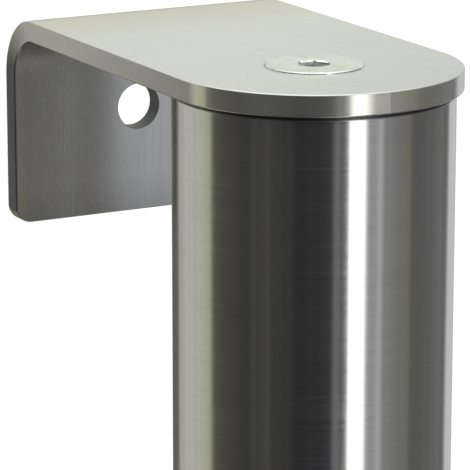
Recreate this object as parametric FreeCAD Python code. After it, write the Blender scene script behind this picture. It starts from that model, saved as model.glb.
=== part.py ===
import FreeCAD, Part
import math
import os

from FreeCAD import Vector

# Retractable bollard, all sizes in millimetres.
# Frame: origin on the post's axis at finished ground level, +Z up, the head's flange towards +Y,
# the lock towards +X. Everything is drawn with the post raised and unlocked.

# ---- post and head -------------------------------------------------------------------------------
post_height = 600.0          # top of the head above the ground, raised
tube_od = 76.1
tube_wall = 2.0
head_width = tube_od + 3.9  # flat bar that the head is bent from
head_thickness = 6.0
head_reach = 112.0           # post axis to the flange's outer face
bend_radius = 18.0           # outside of the bend
flange_height = 62.0         # head's top to the flange's lower edge
flange_corner = 5.0
flange_hole_drop = 30.5      # head's top to the hole's centre
flange_hole_r = 6.75
edge_break = 0.45            # rounded sheet edges
seat_gap = 0.4               # plate stands this far off the tube's end
screw_shank_r = 6.0
screw_head_r = 13.4
screw_proud = 0.5
screw_land = 0.7             # cylindrical rim of the countersunk head
screw_length = 24.0
screw_key = 8.0              # across flats
screw_key_depth = 4.5
plug_thickness = 24.0
dowel_r = 3.0
dowel_length = 9.0
dowel_depth = 3.0            # blind depth in the head
dowel_offset = 24.0

# ---- ground unit ---------------------------------------------------------------------------------
sleeve_od = tube_od + 25.5
sleeve_wall = 3.0
sleeve_floor_gap = 23.8      # base's upper face to the foot, post lowered
base_thickness = 6.0
plate_thickness = 10.0
plate_size_x = tube_od + 129.9
plate_size_y = 216.0
plate_centre_x = 25.0
plate_centre_y = 30.0
plate_corner = 15.0
plate_edge = 1.0
anchor_hole_r = 5.5
anchor_hole_inset = 14.0
lowered_gap = 2.0            # head's underside above the ground plate, lowered
ring_r = sleeve_od / 2 + 14.2
ring_thickness = 3.0
ring_screw_circle_r = ring_r - 5.5
ring_screw_count = 6
ring_screw_r = 2.5
ring_screw_head_r = 5.0
ring_screw_length = 9.0
ring_bore_gap = 0.6
bush_flange_r = sleeve_od / 2 + 3.1
bush_flange_thickness = 3.0
bush_length = 120.0
wiper_width = 5.8
wiper_height = 6.0
rail_width = 8.0
rail_clear = 1.5             # rail's inner face to the tube
anchor_bar_r = 6.0
anchor_bar_reach = 98.0
anchor_bar_hook = 40.0
anchor_bar_bend = 16.0
anchor_bar_levels = (-330.0, -640.0)
pocket_wall = 3.0
pocket_depth = 70.0
slot_clear = 2.0             # flange to slot, each side
pocket_clear = 2.0           # slot to pocket wall, each side

# ---- foot, stop and gas spring -------------------------------------------------------------------
foot_height = 40.0
foot_seat = 10.0             # floor under the tube's end
foot_bore_r = 18.0
foot_clear = 0.5             # foot to sleeve
stop_thickness = 5.0
stop_width = 7.5
band_height = 15.0
band_thickness = 1.4
band_clear = 0.3             # band to sleeve
band_lift = 4.0              # band above the foot's lower face
foot_screw_r = 3.0
foot_screw_head_r = 5.0
foot_screw_head = 2.5
foot_screw_sink = 0.8
foot_screw_drop = 15.0       # below the foot's upper face
foot_screw_tip_r = 33.0
screwdriver_slot = 1.2       # width and depth
gas_r = 11.0
gas_wall = 1.5
gas_cap = 15.0
gas_gland_height = 15.0
gas_end_lift = 18.2          # cylinder's lower end above the foot's lower face
rod_r = 5.0
rod_piston_height = 12.0
rod_piston_gap = 3.0         # piston above the gland, raised
rod_piston_clear = 0.3
eye_r = 9.0
eye_width = 10.0
eye_height = 16.0            # clevis base to the eye's centre
clevis_ear = 4.0
clevis_width = 18.0
clevis_upper_block = 22.0
clevis_pin_r = 4.0
clevis_pin_over = 2.5
clevis_side_gap = 0.5
buffer_inner_r = 25.0
buffer_outer_r = 44.0
drain_hole_r = 5.0
drain_circle_r = 18.0
drain_hole_count = 4

# ---- lock ----------------------------------------------------------------------------------------
lock_depth = 60.0            # bolt's axis below the ground
bolt_nose_r = 7.0
bolt_body = 16.0             # square
bolt_body_length = 40.0
bolt_body_start = sleeve_od / 2 + 21.2  # body's front face from the post's axis, withdrawn
bolt_tip_start = tube_od / 2 + 2.45
bolt_chamfer = 1.5
bolt_hole_clear = 0.4
gear_module = 1.5
gear_teeth = 16
gear_pressure = math.radians(25.0)
gear_addendum = 1.2
gear_dedendum = 1.5
gear_backlash = 0.16
pinion_width = 14.0
pinion_hub_r = 10.3
pinion_hub = 6.0
spindle_x = sleeve_od / 2 + 31.2
spindle_r = 8.0
spindle_top_drop = 5.5       # below the ground
spindle_key = 8.0
spindle_key_depth = 8.0
spindle_collar_r = 11.0
spindle_collar = 5.0
spindle_tail_r = 6.0
spindle_clip_r = 10.5
spindle_clip = 1.5
spindle_clip_groove_r = 7.2
cross_pin_r = 1.5
spindle_bush_r = 11.0
spindle_bush_flange_r = 14.0
spindle_bush_flange = 3.0
housing_wall = 4.0
housing_drop = 26.0          # bolt axis to the housing's lower edge
housing_x_max = sleeve_od / 2 + 67.2
housing_y_min = -22.0
housing_y_max = 38.0
housing_cover = 4.0
cover_screw_r = 2.5
cover_screw_head_r = 4.5
cover_screw_head = 2.6
cover_screw_length = 12.0
cover_boss = 10.0
guide_length = 55.0
guide_wall = 5.5
guide_clear = 0.25
guide_screw_r = 2.5
guide_screw_length = 12.0
guide_screw_spacing = 30.0
cap_r = 13.7
cap_thickness = 4.0
cap_pocket_depth = 5.0
cap_side_gap = 0.6
cap_hinge_offset = 19.0      # hinge axis from the cap's centre
cap_hinge_drop = 3.0
cap_barrel_r = 2.9
cap_barrel = 10.0
cap_hinge_room = 4.6         # swing room around the hinge axis
cap_pin_r = 1.5
cap_pin_length = 22.0
cap_notch_r = 3.0

# ---- clearances shared by several pieces -----------------------------------------------------------
running_fit = 0.08           # radial, sliding or turning
seat_fit = 0.05              # radial, assembled and still
face_gap = 0.2               # faces that meet at the end of the travel

# ---- derived sizes ---------------------------------------------------------------------------------
tube_r = tube_od / 2
tube_inner_r = tube_r - tube_wall
sleeve_r = sleeve_od / 2
sleeve_inner_r = sleeve_r - sleeve_wall
head_r = head_width / 2
head_under = post_height - head_thickness
tube_top = head_under - seat_gap
plug_bottom = head_under - plug_thickness
travel = head_under - lowered_gap
bush_top = -ring_thickness
bush_bottom = bush_top - bush_length
bush_inner_r = tube_r + running_fit
stop_top = bush_bottom - face_gap
foot_top = stop_top - stop_thickness
foot_bottom = foot_top - foot_height
tube_bottom = foot_bottom + foot_seat
foot_r = sleeve_inner_r - foot_clear
base_top = foot_bottom - travel - sleeve_floor_gap
base_bottom = base_top - base_thickness
buffer_top = foot_bottom - travel - face_gap
eye_z = base_top + eye_height
gas_bottom = foot_bottom + gas_end_lift
gas_top = plug_bottom - clevis_upper_block - eye_height
gas_eye_z = plug_bottom - clevis_upper_block
rail_inner = tube_r + rail_clear
notch_inner = rail_inner - face_gap
bolt_z = -lock_depth
bolt_hole_r = bolt_nose_r + bolt_hole_clear
gear_r = gear_module * gear_teeth / 2
rack_line = bolt_body / 2 - gear_addendum
spindle_y = rack_line + gear_r
housing_bottom = bolt_z - housing_drop
housing_x_min = math.sqrt(sleeve_r ** 2 - housing_y_max ** 2)
cap_hinge_x = spindle_x + cap_hinge_offset
inner_bend = bend_radius - head_thickness
bend_y = head_reach - bend_radius
bend_cut = math.sqrt(inner_bend ** 2 - (inner_bend - lowered_gap) ** 2)
slot_y_min = bend_y + bend_cut - slot_clear
slot_y_max = head_reach + slot_clear
slot_half_x = head_r + slot_clear + edge_break
X = Vector(1, 0, 0)
Y = Vector(0, 1, 0)
Z = Vector(0, 0, 1)
FAR = 400.0                  # longer than any piece that a cutter crosses


# ---- shape helpers ---------------------------------------------------------------------------------
def rod(r, length, at, direction=Z):
    """Solid round bar that starts at a point and runs along a direction."""
    return Part.makeCylinder(r, length, Vector(*at), direction)


def ring(outer, inner, low, high):
    """Washer or tube around the post's axis, between two heights."""
    return rod(outer, high - low, (0, 0, low)).cut(rod(inner, high - low, (0, 0, low)))


def block(x0, x1, y0, y1, z0, z1):
    """Box between two corners."""
    return Part.makeBox(x1 - x0, y1 - y0, z1 - z0, Vector(x0, y0, z0))


def prism(points, direction):
    """Closed outline through the points, pushed along a direction."""
    outline = [Vector(*p) for p in points]
    return Part.Face(Part.makePolygon(outline + outline[:1])).extrude(direction)


def hexagon(across_flats, depth, at):
    """Hexagonal prism that runs down from a point."""
    r = across_flats / math.sqrt(3)
    x, y, z = at
    corners = [(x + r * math.cos(k * math.pi / 3), y + r * math.sin(k * math.pi / 3), z) for k in range(6)]
    return prism(corners, Vector(0, 0, -depth))


def turned(profile, at=(0, 0, 0)):
    """Solid turned around a vertical axis from (radius, height) points."""
    outline = [Vector(r, 0, z) for r, z in profile]
    face = Part.Face(Part.makePolygon(outline + outline[:1]))
    solid = face.revolve(Vector(0, 0, 0), Z, 360)
    solid.translate(Vector(*at))
    return solid


def around(shape, count, start=0.0, centre=(0, 0, 0)):
    """Copies of a shape, evenly spaced around a vertical axis."""
    copies = []
    for k in range(count):
        copy = shape.copy()
        copy.rotate(Vector(*centre), Z, start + 360.0 * k / count)
        copies.append(copy)
    return copies


def group(solids):
    """Separate solids that share one node."""
    return Part.makeCompound(solids)


def rounded_plate(cx, cy, size_x, size_y, corner, low, high):
    """Upright-edged plate with four rounded corners."""
    plate = block(cx - size_x / 2, cx + size_x / 2, cy - size_y / 2, cy + size_y / 2, low, high)
    upright = [e for e in plate.Edges if abs(e.Vertexes[0].Z - e.Vertexes[1].Z) > (high - low) / 2]
    return plate.makeFillet(corner, upright)


def countersunk_screw(r, head_r, land, length, top, at_x, at_y):
    """Countersunk screw with its head's top at a height, pointing down."""
    cone = head_r - r
    outline = [(0, 0), (head_r, 0), (head_r, -land), (r, -land - cone), (r, -length), (0, -length)]
    return turned(outline, (at_x, at_y, top))


# ---- head ------------------------------------------------------------------------------------------
def screw_hole(extra):
    """Countersunk hole that the head screw sits in, larger than the screw all round."""
    top = post_height + screw_proud
    cone = screw_head_r - screw_shank_r
    r_top = screw_head_r + extra
    r_low = screw_shank_r + extra
    outline = [(0, top), (r_top, top), (r_top, top - screw_land), (r_low, top - screw_land - cone)]
    outline += [(r_low, top - screw_length - 1), (0, top - screw_length - 1)]
    return turned(outline)


def dowels(extra):
    """The two pins between plug and head."""
    low = head_under + dowel_depth - dowel_length - extra
    height = dowel_length + 2 * extra
    return [rod(dowel_r + extra, height, (side * dowel_offset, 0, low)) for side in (-1, 1)]


def make_head_plate():
    """Flat bar bent down into a flange, with a half-round front end concentric with the tube."""
    top = post_height
    bend_z = top - bend_radius
    c = math.cos(math.pi / 4)

    def arc(r):
        return (0, bend_y + r * c, bend_z + r * c)

    low = top - flange_height
    inner_face = head_reach - head_thickness
    outer = [Vector(0, -head_r, top), Vector(0, bend_y, top), Vector(0, head_reach, bend_z)]
    lower = [Vector(0, head_reach, low), Vector(0, inner_face, low)]
    inner = [Vector(0, inner_face, bend_z), Vector(0, bend_y, head_under)]
    start = Vector(0, -head_r, head_under)
    edges = [Part.makeLine(outer[0], outer[1])]
    edges.append(Part.Arc(outer[1], Vector(*arc(bend_radius)), outer[2]).toShape())
    edges.append(Part.makeLine(outer[2], lower[0]))
    edges.append(Part.makeLine(lower[0], lower[1]))
    edges.append(Part.makeLine(lower[1], inner[0]))
    edges.append(Part.Arc(inner[0], Vector(*arc(inner_bend)), inner[1]).toShape())
    edges.append(Part.makeLine(inner[1], start))
    edges.append(Part.makeLine(start, outer[0]))
    bent = Part.Face(Part.Wire(edges)).extrude(Vector(head_width, 0, 0))
    bent.translate(Vector(-head_r, 0, 0))
    plan = rod(head_r, flange_height + 2, (0, 0, low - 1))
    plan = plan.fuse(block(-head_r, head_r, 0, head_reach + 1, low - 1, top + 1)).removeSplitter()
    plate = bent.common(plan)
    corners = []
    for e in plate.Edges:
        ends = [v.Point for v in e.Vertexes]
        at_low_edge = len(ends) == 2 and all(abs(p.z - low) < 0.01 for p in ends)
        if at_low_edge and abs(ends[0].x - ends[1].x) < 0.01:
            corners.append(e)
    plate = plate.makeFillet(flange_corner, corners)
    outside = [e for e in plate.Edges if not flat_across(e)]
    plate = plate.makeFillet(edge_break, outside)
    hole_start = (0, head_reach - 2 * head_thickness, top - flange_hole_drop)
    hole = rod(flange_hole_r, 3 * head_thickness, hole_start, Y)
    plate = plate.cut(hole).cut(screw_hole(seat_fit))
    for pin_hole in dowels(seat_fit):
        plate = plate.cut(pin_hole)
    return plate


def flat_across(edge):
    """True for the straight lines where the bend meets the flats and the corners meet the sides."""
    ends = [v.Point for v in edge.Vertexes]
    if len(ends) != 2:
        return False
    across = abs(ends[0].y - ends[1].y) < 0.01 and abs(ends[0].z - ends[1].z) < 0.01
    at_low_edge = abs(ends[0].z - (post_height - flange_height)) < 0.01
    through = abs(ends[0].x - ends[1].x) < 0.01 and abs(ends[0].z - ends[1].z) < 0.01
    through = through and abs(abs(ends[0].y - ends[1].y) - head_thickness) < 0.01
    upright = abs(ends[0].x - ends[1].x) < 0.01 and abs(ends[0].y - ends[1].y) < 0.01
    upright = upright and ends[0].y < head_thickness
    return (across and not at_low_edge) or through or upright


def make_head_screw():
    screw = countersunk_screw(
        screw_shank_r, screw_head_r, screw_land, screw_length, post_height + screw_proud, 0, 0
    )
    screw = screw.cut(hexagon(screw_key, screw_key_depth, (0, 0, post_height + screw_proud)))
    rim = [e for e in screw.Edges if abs(e.BoundBox.ZMin - post_height - screw_proud) < 0.01]
    rim = [e for e in rim if abs(e.BoundBox.XLength - 2 * screw_head_r) < 0.1]
    return screw.makeFillet(edge_break * 0.7, rim)


def make_top_plug():
    """Turned plug in the tube's end: the head sits on it and its screw goes into it."""
    plug = rod(tube_inner_r - seat_fit, plug_thickness, (0, 0, plug_bottom))
    plug = plug.cut(screw_hole(seat_fit))
    for pin_hole in dowels(seat_fit):
        plug = plug.cut(pin_hole)
    return plug


# ---- post ------------------------------------------------------------------------------------------
def lock_hole(z, r):
    """Cutter along +X for the bolt's way through a wall."""
    return rod(r, FAR / 4, (0, 0, z), X)


def foot_screws(extra):
    """Four radial screws that hold the tube in the foot."""
    z = foot_top - foot_screw_drop
    head_out = foot_r - foot_screw_sink
    head_start = head_out - foot_screw_head - extra
    head_end = sleeve_r if extra else head_out
    shank = rod(foot_screw_r + extra, head_out - foot_screw_tip_r, (foot_screw_tip_r, 0, z), X)
    head = rod(foot_screw_head_r + extra, head_end - head_start, (head_start, 0, z), X)
    return around(shank.fuse(head), 4, 45.0)


def rail_notch():
    """Cutter for the groove that lets a ring slide along the rail."""
    half = rail_width / 2 + band_clear
    return block(-sleeve_r, -notch_inner, -half, half, foot_bottom - 1, stop_top + 1)


def make_post_tube():
    tube = ring(tube_r, tube_inner_r, tube_bottom, tube_top)
    for z in (bolt_z, bolt_z + travel):
        tube = tube.cut(lock_hole(z, bolt_hole_r))
    for screw in foot_screws(seat_fit):
        tube = tube.cut(screw)
    return tube


def make_foot_piston():
    """Moulded foot: a cup around the tube's end, open in the middle for the gas spring."""
    foot = ring(foot_r, foot_bore_r, foot_bottom, foot_top)
    foot = foot.cut(rod(tube_r + seat_fit, foot_height, (0, 0, tube_bottom)))
    band_low = foot_bottom + band_lift
    groove_r = sleeve_inner_r - band_clear - band_thickness - seat_fit
    groove = ring(sleeve_r, groove_r, band_low - seat_fit, band_low + band_height + seat_fit)
    foot = foot.cut(groove).cut(rail_notch())
    for screw in foot_screws(seat_fit):
        foot = foot.cut(screw)
    return foot


def make_foot_screws():
    z = foot_top - foot_screw_drop
    r = foot_screw_head_r
    half = screwdriver_slot / 2
    slot_floor = foot_r - foot_screw_sink - screwdriver_slot
    slot = block(slot_floor, foot_r, -half, half, z - r, z + r)
    return group([s.cut(c) for s, c in zip(foot_screws(0.0), around(slot, 4, 45.0))])


def make_guide_band():
    outer = sleeve_inner_r - band_clear
    low = foot_bottom + band_lift
    return ring(outer, outer - band_thickness, low, low + band_height).cut(rail_notch())


def make_stop_ring():
    inner = tube_r + seat_fit
    return ring(inner + stop_width, inner, foot_top, stop_top).cut(rail_notch())


# ---- gas spring ------------------------------------------------------------------------------------
def clevis(base_z, eye_at, up):
    """Fork with two ears around an eye, standing up from or hanging under a face."""
    side = eye_width / 2 + clevis_side_gap
    reach = eye_at + up * eye_r
    low, high = sorted((base_z, reach))
    fork = block(-side - clevis_ear, side + clevis_ear, -clevis_width / 2, clevis_width / 2, low, high)
    floor_low, floor_high = sorted((eye_at - up * (eye_r + 1.5), reach + up))
    fork = fork.cut(block(-side, side, -clevis_width, clevis_width, floor_low, floor_high))
    pin_hole = rod(clevis_pin_r + seat_fit, 4 * clevis_width, (-2 * clevis_width, 0, eye_at), X)
    return fork.cut(pin_hole)


def clevis_pin(eye_at):
    """Headed pin with a chamfered end."""
    half = eye_width / 2 + clevis_side_gap + clevis_ear
    pin = rod(clevis_pin_r, 2 * half + clevis_pin_over, (-half, 0, eye_at), X)
    head = rod(clevis_pin_r + 1.5, clevis_pin_over, (-half - clevis_pin_over, 0, eye_at), X)
    return pin.fuse(head).removeSplitter()


def eye(z):
    """Flat-sided eye of the gas spring."""
    body = rod(eye_r, eye_width, (-eye_width / 2, 0, z), X)
    return body, rod(clevis_pin_r + running_fit, 2 * eye_width, (-eye_width, 0, z), X)


def make_gas_cylinder():
    tube = rod(gas_r, gas_top - gas_bottom, (0, 0, gas_bottom))
    tube = tube.cut(rod(gas_r - gas_wall, gas_top - gas_cap - gas_bottom, (0, 0, gas_bottom)))
    neck = rod(rod_r, gas_eye_z - gas_top, (0, 0, gas_top))
    ring_shape, hole = eye(gas_eye_z)
    return tube.fuse(neck).fuse(ring_shape).cut(hole).removeSplitter()


def make_gas_gland():
    return ring(gas_r - gas_wall - seat_fit, rod_r + running_fit, gas_bottom, gas_bottom + gas_gland_height)


def make_gas_rod():
    piston_low = gas_bottom + gas_gland_height + rod_piston_gap
    shank = rod(rod_r, piston_low - eye_z, (0, 0, eye_z))
    piston = rod(gas_r - gas_wall - rod_piston_clear, rod_piston_height, (0, 0, piston_low))
    ring_shape, hole = eye(eye_z)
    return shank.fuse(piston).fuse(ring_shape).cut(hole).removeSplitter()


# ---- ground unit -----------------------------------------------------------------------------------
def ring_screw_places():
    """Centres of the retaining ring's screws."""
    step = 2 * math.pi / ring_screw_count
    turns = [math.pi / 6 + k * step for k in range(ring_screw_count)]
    return [(ring_screw_circle_r * math.cos(a), ring_screw_circle_r * math.sin(a)) for a in turns]


def ring_screw_hole(x, y, extra):
    return countersunk_screw(
        ring_screw_r + extra, ring_screw_head_r + extra, 0.2, ring_screw_length + 1, 0.001, x, y
    )


def cap_pocket():
    """Pocket in the plate for the dust cap and its hinge."""
    round_part = rod(cap_r + cap_side_gap, FAR, (spindle_x, spindle_y, -cap_pocket_depth))
    half = cap_barrel / 2 + cap_side_gap
    low = -cap_hinge_drop - cap_hinge_room
    hinge = block(spindle_x, cap_hinge_x + cap_hinge_room, spindle_y - half, spindle_y + half, low, FAR)
    keep = rod(spindle_bush_flange_r, FAR, (spindle_x, spindle_y, -FAR - cap_pocket_depth))
    return round_part.fuse(hinge.cut(keep))


def make_ground_plate():
    plate = rounded_plate(
        plate_centre_x, plate_centre_y, plate_size_x, plate_size_y, plate_corner, -plate_thickness, 0
    )
    rim = [e for e in plate.Edges if e.BoundBox.ZMin > -0.01]
    plate = plate.makeFillet(plate_edge, rim)
    plate = plate.cut(rod(sleeve_inner_r, FAR, (0, 0, -FAR / 2)))
    plate = plate.cut(rod(ring_r + 0.3, FAR, (0, 0, -ring_thickness)))
    plate = plate.cut(rod(bush_flange_r + seat_fit, FAR, (0, 0, bush_top - bush_flange_thickness)))
    plate = plate.cut(block(-slot_half_x, slot_half_x, slot_y_min, slot_y_max, -FAR, FAR))
    for x, y in ring_screw_places():
        plate = plate.cut(ring_screw_hole(x, y, seat_fit))
    for x in (-1, 1):
        for y in (-1, 1):
            px = plate_centre_x + x * (plate_size_x / 2 - anchor_hole_inset)
            py = plate_centre_y + y * (plate_size_y / 2 - anchor_hole_inset)
            plate = plate.cut(rod(anchor_hole_r, FAR, (px, py, -FAR / 2)))
    plate = plate.cut(cap_pocket())
    plate = plate.cut(rod(spindle_bush_r, FAR, (spindle_x, spindle_y, -FAR / 2)))
    return plate.cut(cap_pin(seat_fit))


def make_ground_sleeve():
    sleeve = ring(sleeve_r, sleeve_inner_r, base_top, -plate_thickness)
    return sleeve.cut(lock_hole(bolt_z, bolt_hole_r))


def make_sleeve_base():
    base = rod(sleeve_r, base_thickness, (0, 0, base_bottom))
    hole = rod(drain_hole_r, 3 * base_thickness, (drain_circle_r, 0, base_bottom - base_thickness))
    for cutter in around(hole, drain_hole_count, 45.0):
        base = base.cut(cutter)
    return base


def make_flange_pocket():
    """Folded box under the plate's slot that takes the flange, post lowered."""
    half = slot_half_x + pocket_clear
    y0 = slot_y_min - pocket_clear
    y1 = slot_y_max + pocket_clear
    low = -plate_thickness - pocket_depth
    w = pocket_wall
    box = block(-half - w, half + w, y0 - w, y1 + w, low, -plate_thickness)
    box = box.cut(block(-half, half, y0, y1, low + w, 0))
    drain = rod(drain_hole_r, 3 * w, (0, (y0 + y1) / 2, low - w))
    return box.cut(drain)


def make_guide_bush():
    bush = ring(sleeve_inner_r - seat_fit, bush_inner_r, bush_bottom, bush_top)
    bush = bush.fuse(ring(bush_flange_r, bush_inner_r, bush_top - bush_flange_thickness, bush_top))
    bush = bush.removeSplitter()
    groove = ring(bush_inner_r + wiper_width, 1, bush_top - wiper_height, bush_top + 1)
    bush = bush.cut(groove)
    return bush.cut(lock_hole(bolt_z, bolt_hole_r))


def make_wiper_seal():
    """Rubber ring with a lip that leans up against the tube."""
    outer = bush_inner_r + wiper_width - seat_fit
    lip = tube_r + band_clear
    high = bush_top
    low = bush_top - wiper_height
    outline = [(outer, low), (outer, high), (outer - 2.4, high), (lip + 1.0, high - 2.2)]
    outline += [(lip + 0.5, high - 0.4), (lip, high - 0.6), (lip + 0.3, high - 3.4), (lip + 2.0, low)]
    return turned(outline)


def make_retaining_ring():
    plate = ring(ring_r, tube_r + ring_bore_gap, -ring_thickness, 0)
    for x, y in ring_screw_places():
        plate = plate.cut(ring_screw_hole(x, y, seat_fit))
    return plate


def make_ring_screws():
    screws = []
    for x, y in ring_screw_places():
        screw = countersunk_screw(ring_screw_r, ring_screw_head_r, 0.2, ring_screw_length, 0, x, y)
        screws.append(screw.cut(hexagon(3.0, 2.0, (x, y, 0))))
    return group(screws)


def make_anti_turn_rail():
    half = rail_width / 2
    rail = block(-sleeve_r, -rail_inner, -half, half, base_top, bush_bottom - 1)
    return rail.common(rod(sleeve_inner_r, FAR * 4, (0, 0, base_top)))


def make_anchor_bars():
    """Hooked bars on the sleeve that lock it into the concrete."""
    bars = []
    bend_x = anchor_bar_reach - anchor_bar_bend
    for level in anchor_bar_levels:
        straight = rod(anchor_bar_r, bend_x, (0, 0, level), X)
        circle = Part.Face(Part.Wire(Part.makeCircle(anchor_bar_r, Vector(bend_x, 0, level), X)))
        elbow = circle.revolve(Vector(bend_x, 0, level + anchor_bar_bend), Vector(0, -1, 0), 90)
        hook = rod(anchor_bar_r, anchor_bar_hook, (anchor_bar_reach, 0, level + anchor_bar_bend))
        bar = straight.fuse(elbow).fuse(hook).removeSplitter()
        bar = bar.cut(rod(sleeve_r, FAR, (0, 0, level - FAR / 2)))
        bars += around(bar, 4, 45.0)
    return group(bars)


def make_lower_buffer():
    ring_shape = ring(buffer_outer_r, buffer_inner_r, base_top, buffer_top)
    half = rail_width / 2 + 1
    return ring_shape.cut(block(-FAR, -notch_inner, -half, half, base_top - 1, buffer_top + 1))


# ---- lock ------------------------------------------------------------------------------------------
def involute_gear(low, height):
    """Spur pinion: involute flanks from the base circle, thinned by the backlash."""
    base = gear_r * math.cos(gear_pressure)
    root = gear_r - gear_dedendum
    tip = gear_r + gear_addendum
    half_tooth = math.pi / (2 * gear_teeth) - gear_backlash / (2 * gear_r)
    rolled = math.tan(gear_pressure) - gear_pressure
    steps = 6
    flank = []
    for k in range(steps + 1):
        r = base + (tip - base) * k / steps
        pressure = math.acos(base / r)
        flank.append((r, half_tooth + rolled - (math.tan(pressure) - pressure)))
    points = []
    for tooth in range(gear_teeth):
        middle = 2 * math.pi * tooth / gear_teeth
        half = flank[0][1]
        side = [(root, middle - half)] + [(r, middle - a) for r, a in flank]
        side += [(r, middle + a) for r, a in reversed(flank)] + [(root, middle + half)]
        points += [(r * math.cos(a) + spindle_x, r * math.sin(a) + spindle_y, low) for r, a in side]
    return prism(points, Vector(0, 0, height))


def cross_pin(extra):
    """Pin through the pinion's hub and the spindle."""
    z = bolt_z + pinion_width / 2 + pinion_hub / 2
    half = pinion_hub_r - 0.5
    return rod(cross_pin_r + extra, 2 * half, (spindle_x - half, spindle_y, z), X)


def make_lock_pinion():
    low = bolt_z - pinion_width / 2
    gear = involute_gear(low, pinion_width)
    hub = rod(pinion_hub_r, pinion_hub, (spindle_x, spindle_y, low + pinion_width))
    gear = gear.fuse(hub)
    gear = gear.cut(rod(spindle_r + seat_fit, FAR, (spindle_x, spindle_y, low - FAR / 2)))
    return gear.cut(cross_pin(seat_fit))


def make_lock_spindle():
    """Turned key shaft: socket on top, collar under the bush, tail in the cover."""
    top = -spindle_top_drop
    collar_top = -plate_thickness - spindle_bush_flange - face_gap
    tail = housing_bottom + 1
    clip_top = bolt_z - pinion_width / 2 - seat_fit
    clip_low = clip_top - spindle_clip
    outline = [(0, top), (spindle_r, top), (spindle_r, collar_top), (spindle_collar_r, collar_top)]
    outline += [(spindle_collar_r, collar_top - spindle_collar), (spindle_r, collar_top - spindle_collar)]
    outline += [(spindle_r, clip_top), (spindle_clip_groove_r, clip_top), (spindle_clip_groove_r, clip_low)]
    outline += [(spindle_r, clip_low), (spindle_r, tail), (spindle_tail_r, tail)]
    end = housing_bottom - housing_cover + 1
    outline += [(spindle_tail_r, end), (0, end)]
    shaft = turned(outline, (spindle_x, spindle_y, 0))
    shaft = shaft.cut(hexagon(spindle_key, spindle_key_depth, (spindle_x, spindle_y, top)))
    return shaft.cut(cross_pin(seat_fit))


def make_spindle_clip():
    """Open retaining ring under the pinion."""
    top = bolt_z - pinion_width / 2 - 2 * seat_fit
    low = top - spindle_clip + 2 * seat_fit
    clip = ring(spindle_clip_r, spindle_clip_groove_r + seat_fit, low, top)
    clip = clip.cut(block(0, FAR, -2.5, 2.5, low - 1, top + 1))
    clip.translate(Vector(spindle_x, spindle_y, 0))
    return clip


def make_spindle_bush():
    low = -plate_thickness - spindle_bush_flange
    sides = rod(spindle_bush_r - seat_fit, -cap_pocket_depth - low, (0, 0, low))
    flange = rod(spindle_bush_flange_r, spindle_bush_flange, (0, 0, low))
    bush = sides.fuse(flange).cut(rod(spindle_r + running_fit, FAR, (0, 0, -FAR / 2)))
    bush.translate(Vector(spindle_x, spindle_y, 0))
    return bush.removeSplitter()


def make_lock_bolt():
    """Square bar with a rack on one side and a turned nose."""
    half = bolt_body / 2
    body_end = bolt_body_start + bolt_body_length
    body = block(bolt_body_start, body_end, -half, half, bolt_z - half, bolt_z + half)
    body = body.makeChamfer(0.6, [e for e in body.Edges if e.BoundBox.YMax < 0])
    pitch = math.pi * gear_module
    slope = math.tan(gear_pressure)
    floor_y = rack_line - gear_dedendum
    over = 1.0
    first = -1
    last = int((body_end - spindle_x - pitch / 2) / pitch)
    for k in range(first, last + 1):
        x = spindle_x + k * pitch
        low_half = pitch / 4 + gear_backlash / 2 - gear_dedendum * slope
        high_half = pitch / 4 + gear_backlash / 2 + (gear_addendum + over) * slope
        corners = [(x - low_half, floor_y), (x + low_half, floor_y)]
        corners += [(x + high_half, half + over), (x - high_half, half + over)]
        gap = prism([(px, py, bolt_z - bolt_body) for px, py in corners], Vector(0, 0, 2 * bolt_body))
        body = body.cut(gap)
    nose = rod(bolt_nose_r, bolt_body_start - bolt_tip_start, (bolt_tip_start, 0, bolt_z), X)
    tip = [e for e in nose.Edges if e.BoundBox.XMax < bolt_tip_start + 0.01 and e.Closed]
    nose = nose.makeChamfer(bolt_chamfer, tip)
    return body.fuse(nose)


def guide_screw_places():
    middle = housing_x_max - housing_wall - guide_length / 2
    return [middle + side * guide_screw_spacing / 2 for side in (-1, 1)]


def make_bolt_guide():
    """Channel that the bolt's body slides in, open towards the pinion."""
    half = bolt_body / 2 + guide_clear
    x1 = housing_x_max - housing_wall
    x0 = x1 - guide_length
    y0 = housing_y_min + housing_wall
    guide = block(x0, x1, y0, bolt_body / 2, bolt_z - half - guide_wall, bolt_z + half + guide_wall)
    guide = guide.cut(block(x0 - 1, x1 + 1, -half, FAR, bolt_z - half, bolt_z + half))
    for x in guide_screw_places():
        guide = guide.cut(rod(guide_screw_r + seat_fit, guide_screw_length, (x, y0 - 1, bolt_z), Y))
    return guide


def make_bolt_guide_screws():
    screws = []
    for x in guide_screw_places():
        y = housing_y_min
        shank = rod(guide_screw_r, guide_screw_length, (x, y, bolt_z), Y)
        head = rod(guide_screw_r + 2, guide_screw_r, (x, y - guide_screw_r, bolt_z), Y)
        face = y - guide_screw_r
        half = screwdriver_slot / 2
        slot = block(x - FAR, x + FAR, face, face + screwdriver_slot, bolt_z - half, bolt_z + half)
        screws.append(shank.fuse(head).cut(slot))
    return group(screws)


def cover_screw_places():
    inset = housing_wall + cover_boss / 2
    far_x = housing_x_max - inset
    near_x = sleeve_r + cover_boss
    return [(x, y) for x in (near_x, far_x) for y in (housing_y_min + inset, housing_y_max - inset)]


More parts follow.
